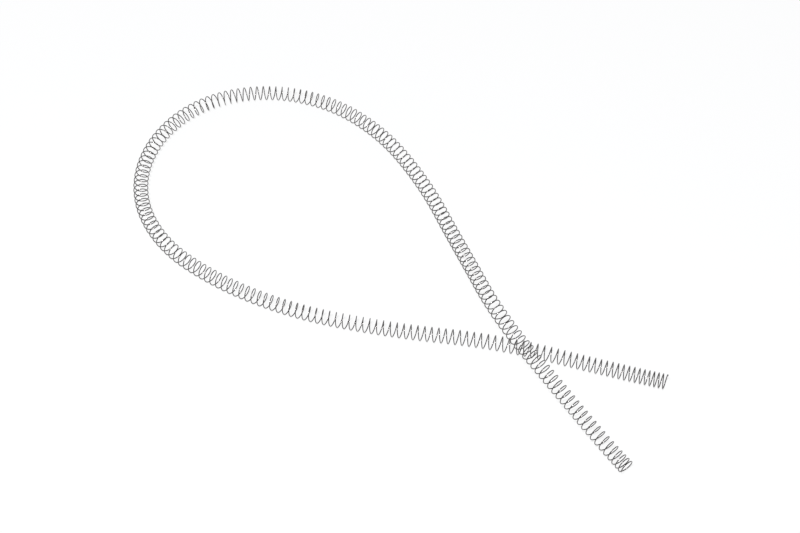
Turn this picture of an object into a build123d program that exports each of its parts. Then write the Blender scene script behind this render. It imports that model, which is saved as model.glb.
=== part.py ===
"""Hose support spring: one long right-handed coil of round stainless wire.

The spring lies on a flat surface as one open loop. Its far end comes back
over its near end, so the coil rises in one long low hump where it crosses
itself. All sizes are in millimetres, with +Z up.
"""

from build123d import *
import math
import os

# Wire and coil
WIRE_DIAMETER = 0.8
COIL_DIAMETER = 12.8  # outside the wire, a free fit in a 13 mm hose bore
PITCH = 5.6  # from one turn to the next, where the coil lies at ease
TURNS = 219.2
START_ANGLE = 106.5  # of the wire's first end about the coil's axis, in degrees

# How open the coil is along its length: turn number, share of the pitch there.
# The turns close up over both ends, and stand widest on the climb of the hump.
OPENNESS = (
    (0, 0.585),
    (8, 0.77),
    (16, 0.89),
    (24, 1.025),
    (0.25 * TURNS, 1.0),
    (0.43 * TURNS, 1.015),
    (0.52 * TURNS, 1.005),
    (0.65 * TURNS, 0.97),
    (TURNS - 47, 1.055),
    (TURNS - 31, 1.095),
    (TURNS - 23, 0.975),
    (TURNS - 5, 0.95),
    (TURNS, 0.51),
)

# Plan of the loop as stretches of constant bend: length, and turn in degrees,
# positive to the left. They are scaled together to the length of the spring.
START_HEADING = 164.5
STRETCHES = (
    (90, -2.5),
    (90, 10.5),
    (90, -6.5),
    (80, -13.5),
    (60, -12.0),
    (60, -25.5),
    (60, -31.0),
    (60, -31.0),
    (60, -36.0),
    (60, -30.5),
    (60, -26.0),
    (60, -18.0),
    (80, -11.5),
    (90, -2.0),
    (90, 15.0),
    (116, 2.5),
)
STRETCH_UNDER = 1  # the stretch that is crossed, counted from 0
STRETCH_OVER = 14  # the stretch that crosses over it
CROSSING_GAP = 0.3
HUMP_HALF_LENGTH = 160.0

# Worked out from the values above
WIRE_RADIUS = WIRE_DIAMETER / 2
HELIX_RADIUS = COIL_DIAMETER / 2 - WIRE_RADIUS
REST_HEIGHT = COIL_DIAMETER / 2
HUMP_RISE = COIL_DIAMETER + CROSSING_GAP


def distance_at(turn):
    """Distance along the loop at a turn number, from the pitch up to there."""
    distance = 0
    for (low, share_low), (high, share_high) in zip(OPENNESS, OPENNESS[1:]):
        end = turn if turn < high or high == TURNS else high
        share_end = share_low + (share_high - share_low) * (end - low) / (high - low)
        distance += PITCH * (share_low + share_end) / 2 * (end - low)
        if turn < high:
            break
    return distance


SPRING_LENGTH = distance_at(TURNS)
PLAN_SCALE = SPRING_LENGTH / sum(length for length, turn in STRETCHES)
LENGTHS = [length * PLAN_SCALE for length, turn in STRETCHES]

# The loop in plan: arcs, each tangent to the one before
with BuildLine() as loop:
    start = Vector(0, 0, 0)
    heading = Vector(1, 0, 0).rotate(Axis.Z, START_HEADING)
    arcs = []
    for length, (_, turn) in zip(LENGTHS, STRETCHES):
        radius = length / math.radians(abs(turn))
        arcs.append(JernArc(start, heading, radius, turn))
        start = arcs[-1] @ 1
        heading = arcs[-1] % 1

crossing = arcs[STRETCH_OVER].intersect(arcs[STRETCH_UNDER]).vertices()[0]
share_over = arcs[STRETCH_OVER].param_at_point(Vector(crossing))
OVER_AT = sum(LENGTHS[:STRETCH_OVER]) + share_over * LENGTHS[STRETCH_OVER]


def axis_point(distance):
    """Point of the coil's own axis, at a distance along the loop."""
    from_top = min(abs(distance - OVER_AT) / HUMP_HALF_LENGTH, 1)
    rise = HUMP_RISE * (1 + math.cos(math.pi * from_top)) / 2
    stretch = 0
    while stretch < len(arcs) - 1 and distance > LENGTHS[stretch]:
        distance -= LENGTHS[stretch]
        stretch += 1
    plan_point = arcs[stretch].position_at(distance / LENGTHS[stretch])
    return plan_point + Vector(0, 0, REST_HEIGHT + rise)


def wire_point(turn):
    """Point of the wire's centre line, at a turn number."""
    distance = distance_at(turn)
    angle = math.radians(START_ANGLE + 360 * turn)
    centre = axis_point(distance)
    along = (axis_point(distance + 0.1) - axis_point(distance - 0.1)).normalized()
    across = Vector(0, 0, 1).cross(along).normalized()
    upward = along.cross(across)
    return centre + (across * math.cos(angle) + upward * math.sin(angle)) * HELIX_RADIUS


def wire_direction(turn):
    """Direction of the wire at a turn number."""
    return (wire_point(turn + 0.001) - wire_point(turn - 0.001)).normalized()


def meeting_point(start, start_direction, end, end_direction):
    """Where two tangent arcs meet that join the ends with their directions."""
    chord = end - start
    a = 2 * (1 - start_direction.dot(end_direction))
    b = 2 * chord.dot(start_direction + end_direction)
    c = -chord.dot(chord)
    reach = (-b + math.sqrt(b * b - 4 * a * c)) / (2 * a)
    return (start + start_direction * reach + end - end_direction * reach) * 0.5


# The wire's centre line: each half turn is two arcs, tangent to each other
half_turns = math.ceil(2 * TURNS)
turn_numbers = [TURNS * count / half_turns for count in range(half_turns + 1)]
points = [wire_point(turn) for turn in turn_numbers]
directions = [wire_direction(turn) for turn in turn_numbers]
wire_arcs = []
direction = directions[0]
for start, end, end_direction in zip(points, points[1:], directions[1:]):
    middle = meeting_point(start, direction, end, end_direction)
    for arc_start, arc_end in ((start, middle), (middle, end)):
        wire_arcs.append(TangentArc(arc_start, arc_end, tangent=direction, mode=Mode.PRIVATE))
        direction = wire_arcs[-1] % 1

with BuildPart() as spring:
    with BuildLine():
        add(wire_arcs)
    with BuildSketch(Plane(origin=points[0], z_dir=directions[0])):
        Circle(WIRE_RADIUS)
    sweep()

# The origin is on the surface, under the middle of the loop
box = spring.part.bounding_box()
spring.part = spring.part.moved(Location((-box.center().X, -box.center().Y, -box.min.Z)))
spring.part.label = "spring"
os.makedirs("parts", exist_ok=True)
export_step(spring.part, "parts/spring.step")

wire_length = sum(arc.length for arc in wire_arcs)
print(f"spring length {SPRING_LENGTH:.1f}, wire length {wire_length:.1f}")
print(f"volume {spring.part.volume:.2f}, section x length {math.pi * WIRE_RADIUS**2 * wire_length:.2f}")
print(f"crossing over at {OVER_AT:.1f}, box {box.size}, origin moved by {-box.center()}")
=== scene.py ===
"""Looks of the hose support spring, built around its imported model.

The wire is modelled straight, as one right-handed coil along +X, and is then laid
along the loop that the spring rests in. All sizes are in metres, with +Z up.
"""

import math

import bpy
import numpy as np
from mathutils import Matrix, Vector


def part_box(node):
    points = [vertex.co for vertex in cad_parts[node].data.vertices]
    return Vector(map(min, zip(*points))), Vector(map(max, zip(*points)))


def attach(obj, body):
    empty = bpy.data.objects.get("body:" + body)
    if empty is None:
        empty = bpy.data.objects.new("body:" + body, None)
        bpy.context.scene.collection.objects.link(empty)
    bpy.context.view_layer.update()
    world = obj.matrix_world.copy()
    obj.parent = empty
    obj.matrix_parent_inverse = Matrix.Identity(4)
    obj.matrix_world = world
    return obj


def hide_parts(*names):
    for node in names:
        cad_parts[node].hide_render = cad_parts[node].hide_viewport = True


bl_info = {
    "name": "Hose Support Spring",
    "version": (1, 0, 0),
    "blender": (4, 5, 0),
    "location": "View3D > Sidebar > Hose Spring",
    "description": "Lays a long coil of stainless spring wire in a loop on a pale floor",
    "category": "Add Mesh",
}

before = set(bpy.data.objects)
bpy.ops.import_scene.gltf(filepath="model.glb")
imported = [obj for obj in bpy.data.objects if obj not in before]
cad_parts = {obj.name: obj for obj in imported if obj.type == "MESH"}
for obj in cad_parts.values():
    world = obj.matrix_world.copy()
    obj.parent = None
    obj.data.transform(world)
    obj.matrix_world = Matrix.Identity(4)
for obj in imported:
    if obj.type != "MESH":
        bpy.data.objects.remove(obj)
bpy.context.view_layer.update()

SPRING_NODE = "spring"
STRAIGHT_WIRE = "straight_wire"  # attribute: where each point lies in the uncoiled wire

# The loop in plan, as stretches of constant bend: length, and turn in degrees,
# positive to the left. They are scaled together to the length of the spring.
# A separate program fitted the turns, and the shares in openness(), which were
# then rounded: they weren't chosen by hand.
STRETCHES = (
    (0.090, -2.5),
    (0.090, 10.5),
    (0.090, -6.5),
    (0.080, -13.5),
    (0.060, -12.0),
    (0.060, -25.5),
    (0.060, -31.0),
    (0.060, -31.0),
    (0.060, -36.0),
    (0.060, -30.5),
    (0.060, -26.0),
    (0.060, -18.0),
    (0.080, -11.5),
    (0.090, -2.0),
    (0.090, 15.0),
    (0.116, 2.5),
)
CROSSING_SHARE = 0.88197  # of the spring's length, where it crosses over itself
PATH_SPACING = 0.002

# Texture scales along and across the straight wire, per metre
LINE_SCALES = (120.0, 9000.0, 9000.0)
PATCH_SCALES = (14.0, 700.0, 700.0)

LAMP_PLACE = (-0.36, -1.22, 2.6)
LAMP_LENGTH = 0.58
LAMP_WIDTH = 0.43
CAMERA_TARGET = (0.0095, 0.0016, 0.0)


class SpringSizes(bpy.types.PropertyGroup):
    """Sizes of the wire, the coil and the loop that it lies in."""

    wire_diameter: bpy.props.FloatProperty(
        name="Wire Diameter", description="Thickness of the round wire",
        default=0.0008, unit="LENGTH")
    coil_diameter: bpy.props.FloatProperty(
        name="Coil Diameter", description="Outside diameter of the coil",
        default=0.0128, unit="LENGTH")
    pitch: bpy.props.FloatProperty(
        name="Pitch", description="From one turn to the next, where the coil lies at ease",
        default=0.0056, unit="LENGTH")
    turns: bpy.props.FloatProperty(
        name="Turns", description="Number of turns from end to end", default=219.2)
    start_angle: bpy.props.FloatProperty(
        name="Start Angle", description="Of the wire's first end about the coil's axis",
        default=math.radians(106.5), unit="ROTATION")
    start_heading: bpy.props.FloatProperty(
        name="Start Heading", description="Direction in plan in which the coil starts",
        default=math.radians(164.5), unit="ROTATION")
    crossing_gap: bpy.props.FloatProperty(
        name="Crossing Gap", description="Left between the two strands where they cross",
        default=0.0003, unit="LENGTH")
    hump_half_length: bpy.props.FloatProperty(
        name="Hump Half Length", description="From the foot of the hump to its top",
        default=0.160, unit="LENGTH")
    end_chamfer: bpy.props.FloatProperty(
        name="End Chamfer", description="Rounding of the edge of each cut end",
        default=0.00008, unit="LENGTH")
    steps_per_turn: bpy.props.IntProperty(
        name="Steps per Turn", description="Facets along each turn of the coil", default=36)
    wire_sides: bpy.props.IntProperty(
        name="Wire Sides", description="Facets around the wire", default=12)


class SpringFinish(bpy.types.PropertyGroup):
    """Colours and finish of the wire."""

    steel: bpy.props.FloatVectorProperty(
        name="Steel", description="Colour of the bright drawn wire", subtype="COLOR",
        size=3, default=(0.175, 0.166, 0.162))
    dull_steel: bpy.props.FloatVectorProperty(
        name="Dull Steel", description="Colour where the drawing skin is left on",
        subtype="COLOR", size=3, default=(0.088, 0.083, 0.082))
    smoothest: bpy.props.FloatProperty(
        name="Smoothest", description="Roughness where the wire is brightest",
        default=0.13, subtype="FACTOR")
    roughest: bpy.props.FloatProperty(
        name="Roughest", description="Roughness where the wire is dullest",
        default=0.25, subtype="FACTOR")


class StageSettings(bpy.types.PropertyGroup):
    """Floor, light and camera around the spring."""

    floor_colour: bpy.props.FloatVectorProperty(
        name="Floor Colour", description="Colour of the plain floor", subtype="COLOR",
        size=3, default=(0.87, 0.88, 0.90))
    floor_whiteness: bpy.props.FloatProperty(
        name="Floor Whiteness", description="Share of plain white in the floor as it is seen",
        default=0.80, subtype="FACTOR")
    floor_size: bpy.props.FloatProperty(
        name="Floor Size", description="Side of the floor", default=8.0, unit="LENGTH")
    room_light: bpy.props.FloatProperty(
        name="Room Light", description="Strength of the light from all round", default=0.26)
    lamp_power: bpy.props.FloatProperty(
        name="Lamp Power", description="Power of the soft lamp", default=89.0,
        unit="POWER")
    camera_distance: bpy.props.FloatProperty(
        name="Camera Distance", description="From the floor at the picture's centre",
        default=1.4768, unit="LENGTH")
    camera_elevation: bpy.props.FloatProperty(
        name="Camera Elevation", description="Angle of the view above the floor",
        default=math.radians(50.0), unit="ROTATION")
    camera_lens: bpy.props.FloatProperty(
        name="Camera Lens", description="Focal length in millimetres", default=79.69)


class Socket:
    """A value in a material, which adds Math nodes as it is calculated with."""

    def __init__(self, shader, output):
        self.shader = shader
        self.output = output

    def _math(self, operation, *values):
        return self.shader.node("ShaderNodeMath", {"operation": operation}, dict(enumerate(values)))

    def __add__(self, other):
        return self._math("ADD", self, other)

    def __mul__(self, other):
        return self._math("MULTIPLY", self, other)

    def maximum(self, other):
        return self._math("MAXIMUM", self, other)


class Shader:
    """The node tree of a material or a world."""

    def __init__(self, owner):
        owner.use_nodes = True
        self.tree = owner.node_tree
        self.tree.nodes.clear()

    def node(self, kind, settings=None, inputs=None, output=0):
        """Adds a node, sets it up, and gives the socket of one of its outputs, if any."""
        node = self.tree.nodes.new(kind)
        for name, value in (settings or {}).items():
            setattr(node, name, value)
        for name, value in (inputs or {}).items():
            if isinstance(value, Socket):
                self.tree.links.new(value.output, node.inputs[name])
            else:
                node.inputs[name].default_value = value
        return Socket(self, node.outputs[output]) if node.outputs else None

    def noise(self, vector, scale, detail=2.0, roughness=0.5):
        """Soft noise from 0 to 1 on a vector."""
        return self.node("ShaderNodeTexNoise", None, {
            "Vector": vector, "Scale": scale, "Detail": detail, "Roughness": roughness}, "Fac")

    def between(self, value, low, high):
        """Spreads a value from 0 at low to 1 at high, smoothly."""
        return self.node("ShaderNodeMapRange", {"interpolation_type": "SMOOTHSTEP"}, {
            "Value": value, "From Min": low, "From Max": high})

    def mix(self, factor, first, second):
        """Mixes two colours."""
        return self.node("ShaderNodeMix", {"data_type": "RGBA"}, {
            0: factor, 6: first, 7: second}, 2)


def with_alpha(colour):
    """A colour property as the four numbers that a socket takes."""
    return (*colour, 1.0)


def steel_wire_material(finish):
    """Bright drawn stainless spring wire, with fine drawing lines along it."""
    material = bpy.data.materials.new("drawn_stainless_wire")
    shader = Shader(material)
    place = shader.node("ShaderNodeAttribute", {"attribute_name": STRAIGHT_WIRE}, None, "Vector")
    lines_place = shader.node("ShaderNodeMapping", None, {
        "Vector": place, "Scale": LINE_SCALES})
    patch_place = shader.node("ShaderNodeMapping", None, {
        "Vector": place, "Scale": PATCH_SCALES})
    lines = shader.noise(lines_place, 1.0, 3.0, 0.6)
    patches = shader.between(shader.noise(patch_place, 1.0, 3.0), 0.35, 0.7)
    dullness = patches * 0.6 + lines * 0.4
    colour = shader.mix(dullness, with_alpha(finish.steel), with_alpha(finish.dull_steel))
    roughness = dullness * (finish.roughest - finish.smoothest) + finish.smoothest
    bump = shader.node("ShaderNodeBump", None, {
        "Strength": 0.35, "Distance": 0.00001, "Height": lines}, "Normal")
    surface = shader.node("ShaderNodeBsdfPrincipled", None, {
        "Base Color": colour, "Metallic": 1.0, "Roughness": roughness, "Normal": bump})
    shader.node("ShaderNodeOutputMaterial", None, {"Surface": surface})
    return material


def openness(sizes):
    """How open the coil is along its length: turn number, share of the pitch there.

    The turns close up over both ends, and stand widest on the climb of the hump.
    """
    turns = sizes.turns
    return (
        (0, 0.585), (8, 0.77), (16, 0.89), (24, 1.025), (0.25 * turns, 1.0),
        (0.43 * turns, 1.015), (0.52 * turns, 1.005), (0.65 * turns, 0.97),
        (turns - 47, 1.055), (turns - 31, 1.095), (turns - 23, 0.975),
        (turns - 5, 0.95), (turns, 0.51),
    )


def distance_at(turn, sizes):
    """Distance along the loop at a turn number, from the pitch up to there."""
    distance = 0.0
    stations = openness(sizes)
    for (low, share_low), (high, share_high) in zip(stations, stations[1:]):
        end = min(turn, high)
        share_end = share_low + (share_high - share_low) * (end - low) / (high - low)
        distance += sizes.pitch * (share_low + share_end) / 2 * (end - low)
        if turn < high:
            break
    return distance


def loop_points(sizes):
    """Points of the coil's own axis, close together from end to end of the loop."""
    length = distance_at(sizes.turns, sizes)
    scale = length / sum(stretch_length for stretch_length, turn in STRETCHES)
    rest_height = sizes.coil_diameter / 2
    rise = sizes.coil_diameter + sizes.crossing_gap
    points = []
    corner = Vector((0.0, 0.0))
    heading = sizes.start_heading
    passed = 0.0
    for stretch_length, turn in STRETCHES:
        stretch_length *= scale
        bend = math.radians(turn) / stretch_length
        steps = math.ceil(stretch_length / PATH_SPACING)
        for step in range(steps + 1):
            gone = stretch_length * step / steps
            now = heading + bend * gone
            place = corner + Vector((math.sin(now) - math.sin(heading),
                                     math.cos(heading) - math.cos(now))) / bend
            from_top = abs(passed + gone - CROSSING_SHARE * length) / sizes.hump_half_length
            height = rise * (1 + math.cos(math.pi * min(from_top, 1.0))) / 2
            if step or not points:
                points.append((place.x, place.y, rest_height + height))
        corner = place
        heading = now
        passed += stretch_length
    return points


def lay_loop_curve(sizes):
    """The curve that the straight coil is laid along."""
    points = loop_points(sizes)
    curve = bpy.data.curves.new("loop", "CURVE")
    curve.dimensions = "3D"
    curve.twist_mode = "Z_UP"
    spline = curve.splines.new("POLY")
    spline.points.add(len(points) - 1)
    for point, place in zip(spline.points, points):
        point.co = (*place, 1.0)
    loop = bpy.data.objects.new("loop", curve)
    bpy.context.collection.objects.link(loop)
    return loop


def straight_coil(sizes):
    """Coils a round wire along +X: a circle is added at its place and is screwed."""
    bpy.ops.object.select_all(action="DESELECT")
    wire_radius = sizes.wire_diameter / 2
    helix_radius = sizes.coil_diameter / 2 - wire_radius
    bpy.ops.mesh.primitive_circle_add(vertices=sizes.wire_sides, radius=wire_radius)
    wire = bpy.context.active_object
    wire.name = "hose_spring_wire"
    wire.data.name = wire.name
    lead_angle = math.atan(sizes.pitch / (math.tau * helix_radius))
    place = (Matrix.Rotation(sizes.start_angle, 4, "X")
             @ Matrix.Translation((0.0, helix_radius, 0.0))
             @ Matrix.Rotation(lead_angle, 4, "Y"))
    wire.data.transform(place)
    screw = wire.modifiers.new("coil", "SCREW")
    screw.axis = "X"
    screw.angle = math.tau * sizes.turns
    screw.steps = round(sizes.steps_per_turn * sizes.turns)
    screw.render_steps = screw.steps
    screw.screw_offset = sizes.pitch * sizes.turns
    screw.use_smooth_shade = True
    bpy.ops.object.modifier_apply(modifier=screw.name)
    return wire


def space_turns(wire, sizes):
    """Slides each ring of the wire along X to the pitch it has on the real spring."""
    points = np.empty(len(wire.data.vertices) * 3)
    wire.data.vertices.foreach_get("co", points)
    points = points.reshape(-1, sizes.wire_sides, 3)
    turns = np.linspace(0.0, sizes.turns, len(points))
    even = turns * sizes.pitch
    real = np.array([distance_at(turn, sizes) for turn in turns])
    points[:, :, 0] += (real - even)[:, None]
    wire.data.vertices.foreach_set("co", points.ravel())
    wire.data.update()


def mark_straight_wire(wire, sizes):
    """Stores where each point was in the wire before it was coiled."""
    rings = len(wire.data.vertices) // sizes.wire_sides
    wire_radius = sizes.wire_diameter / 2
    turn_length = math.pi * (sizes.coil_diameter - sizes.wire_diameter)
    along = np.linspace(0.0, sizes.turns * turn_length, rings)
    around = np.arange(sizes.wire_sides) * math.tau / sizes.wire_sides
    place = np.empty((rings, sizes.wire_sides, 3))
    place[:, :, 0] = along[:, None]
    place[:, :, 1] = wire_radius * np.cos(around)
    place[:, :, 2] = wire_radius * np.sin(around)
    attribute = wire.data.attributes.new(STRAIGHT_WIRE, "FLOAT_VECTOR", "POINT")
    attribute.data.foreach_set("vector", place.ravel())


def close_ends(wire, sizes):
    """Fills the two cut ends of the wire and breaks their sharp edges."""
    bpy.ops.object.mode_set(mode="EDIT")
    bpy.ops.mesh.select_mode(type="EDGE")
    bpy.ops.mesh.select_all(action="DESELECT")
    bpy.ops.mesh.select_non_manifold()
    bpy.ops.mesh.fill_holes(sides=sizes.wire_sides)
    bpy.ops.mesh.select_mode(type="FACE")
    bpy.ops.mesh.select_all(action="DESELECT")
    bpy.ops.mesh.select_face_by_sides(number=sizes.wire_sides, type="EQUAL")
    bpy.ops.mesh.region_to_loop()
    bpy.ops.mesh.bevel(offset=sizes.end_chamfer, segments=2, affect="EDGES")
    bpy.ops.mesh.select_all(action="SELECT")
    bpy.ops.mesh.normals_make_consistent(inside=False)
    bpy.ops.object.mode_set(mode="OBJECT")


def lay_along_loop(wire, sizes):
    """Bends the straight coil along the loop, and centres it in the model's box."""
    loop = lay_loop_curve(sizes)
    bend = wire.modifiers.new("lay", "CURVE")
    bend.object = loop
    bend.deform_axis = "POS_X"
    bpy.context.view_layer.objects.active = wire
    bpy.ops.object.modifier_apply(modifier=bend.name)
    bpy.data.objects.remove(loop)
    low, high = wire_box(wire)
    node_low, node_high = (Vector(corner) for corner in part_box(SPRING_NODE))
    middle = (node_low + node_high - low - high) / 2
    wire.data.transform(Matrix.Translation((middle.x, middle.y, node_low.z - low.z)))


def wire_box(wire):
    """Lowest and highest corners of a mesh."""
    points = np.empty(len(wire.data.vertices) * 3)
    wire.data.vertices.foreach_get("co", points)
    points = points.reshape(-1, 3)
    return Vector(points.min(axis=0)), Vector(points.max(axis=0))


class SPRING_OT_wire(bpy.types.Operator):
    """Coil the wire, lay it in its loop and give it its finish"""

    bl_idname = "hose_spring.wire"
    bl_label = "Spring Wire"
    bl_options = {"REGISTER", "UNDO"}

    def execute(self, context):
        sizes = context.scene.hose_spring_sizes
        wire = straight_coil(sizes)
        space_turns(wire, sizes)
        mark_straight_wire(wire, sizes)
        close_ends(wire, sizes)
        lay_along_loop(wire, sizes)
        bpy.ops.object.shade_smooth_by_angle(angle=math.radians(40))
        wire.data.materials.append(steel_wire_material(context.scene.hose_spring_finish))
        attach(wire, "root")
        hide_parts(SPRING_NODE)
        return {"FINISHED"}


def seen_directly(shader):
    """1 for a ray from the camera, or one that the wire reflects or lets through."""
    camera = shader.node("ShaderNodeLightPath", None, None, "Is Camera Ray")
    glossy = shader.node("ShaderNodeLightPath", None, None, "Is Glossy Ray")
    through = shader.node("ShaderNodeLightPath", None, None, "Is Transmission Ray")
    return camera.maximum(glossy).maximum(through)


def floor_material(settings):
    """A plain matt floor that shows nearly white, and keeps a soft shadow."""
    material = bpy.data.materials.new("pale_floor")
    shader = Shader(material)
    matt = shader.node("ShaderNodeBsdfPrincipled", None, {
        "Base Color": with_alpha(settings.floor_colour), "Roughness": 0.9,
        "Specular IOR Level": 0.0})
    white = shader.node("ShaderNodeEmission", None, {
        "Color": (1.0, 1.0, 1.0, 1.0), "Strength": 1.0})
    surface = shader.node("ShaderNodeMixShader", None, {
        0: seen_directly(shader) * settings.floor_whiteness, 1: matt, 2: white})
    shader.node("ShaderNodeOutputMaterial", None, {"Surface": surface})
    return material


def add_floor(settings):
    """Adds the floor that the spring lies on."""
    bpy.ops.object.select_all(action="DESELECT")
    bpy.ops.mesh.primitive_plane_add(size=settings.floor_size)
    floor = bpy.context.active_object
    floor.name = "floor"
    floor.data.materials.append(floor_material(settings))


def add_room_light(settings):
    """Even light from all round."""
    world = bpy.data.worlds.new("white_room")
    bpy.context.scene.world = world
    shader = Shader(world)
    light = shader.node("ShaderNodeBackground", None, {
        "Color": (0.97, 0.98, 1.0, 1.0), "Strength": settings.room_light})
    shader.node("ShaderNodeOutputWorld", None, {"Surface": light})


def aim(thing, target):
    """Turns a camera or a lamp to look at a point."""
    direction = Vector(target) - thing.location
    thing.rotation_euler = direction.to_track_quat("-Z", "Y").to_euler()


def add_lamp(settings):
    """A soft lamp above the loop, a little in front of it."""
    bpy.ops.object.light_add(type="AREA", location=LAMP_PLACE)
    lamp = bpy.context.active_object
    lamp.name = "soft_lamp"
    lamp.data.shape = "RECTANGLE"
    lamp.data.size = LAMP_LENGTH
    lamp.data.size_y = LAMP_WIDTH
    lamp.data.energy = settings.lamp_power
    aim(lamp, (0.0, 0.0, 0.0))


def add_camera(settings):
    """Looks down on the loop from the side where the two ends are."""
    target = Vector(CAMERA_TARGET)
    elevation = settings.camera_elevation
    back = Vector((0.0, -math.cos(elevation), math.sin(elevation)))
    bpy.ops.object.camera_add(location=target + back * settings.camera_distance)
    camera = bpy.context.active_object
    camera.name = "camera"
    camera.data.lens = settings.camera_lens
    aim(camera, target)
    bpy.context.scene.camera = camera


class SPRING_OT_stage(bpy.types.Operator):
    """Add the floor, the light and the camera around the spring"""

    bl_idname = "hose_spring.stage"
    bl_label = "Stage"
    bl_options = {"REGISTER", "UNDO"}

    def execute(self, context):
        settings = context.scene.hose_spring_stage
        add_camera(settings)
        add_floor(settings)
        add_room_light(settings)
        add_lamp(settings)
        context.scene.view_settings.view_transform = "Standard"
        return {"FINISHED"}


class SPRING_PT_panel(bpy.types.Panel):
    """The spring's steps and settings"""

    bl_idname = "SPRING_PT_panel"
    bl_label = "Hose Support Spring"
    bl_space_type = "VIEW_3D"
    bl_region_type = "UI"
    bl_category = "Hose Spring"

    def draw(self, context):
        layout = self.layout
        for operator, settings in STEPS:
            layout.operator(operator.bl_idname)
            for group in settings:
                owner = getattr(context.scene, group)
                for name in owner.__annotations__:
                    layout.prop(owner, name)


GROUPS = {
    "hose_spring_sizes": SpringSizes,
    "hose_spring_finish": SpringFinish,
    "hose_spring_stage": StageSettings,
}
STEPS = (
    (SPRING_OT_stage, ("hose_spring_stage",)),
    (SPRING_OT_wire, ("hose_spring_sizes", "hose_spring_finish")),
)
CLASSES = (*GROUPS.values(), SPRING_OT_wire, SPRING_OT_stage, SPRING_PT_panel)


def register():
    """Adds the classes and the scene's settings."""
    for cls in CLASSES:
        bpy.utils.register_class(cls)
    for name, group in GROUPS.items():
        setattr(bpy.types.Scene, name, bpy.props.PointerProperty(type=group))


def unregister():
    """Takes the classes and the scene's settings away again."""
    for name in GROUPS:
        delattr(bpy.types.Scene, name)
    for cls in reversed(CLASSES):
        bpy.utils.unregister_class(cls)


def main():
    """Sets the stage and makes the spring."""
    register()
    bpy.ops.hose_spring.stage()
    bpy.ops.hose_spring.wire()


if __name__ == "__main__":
    main()
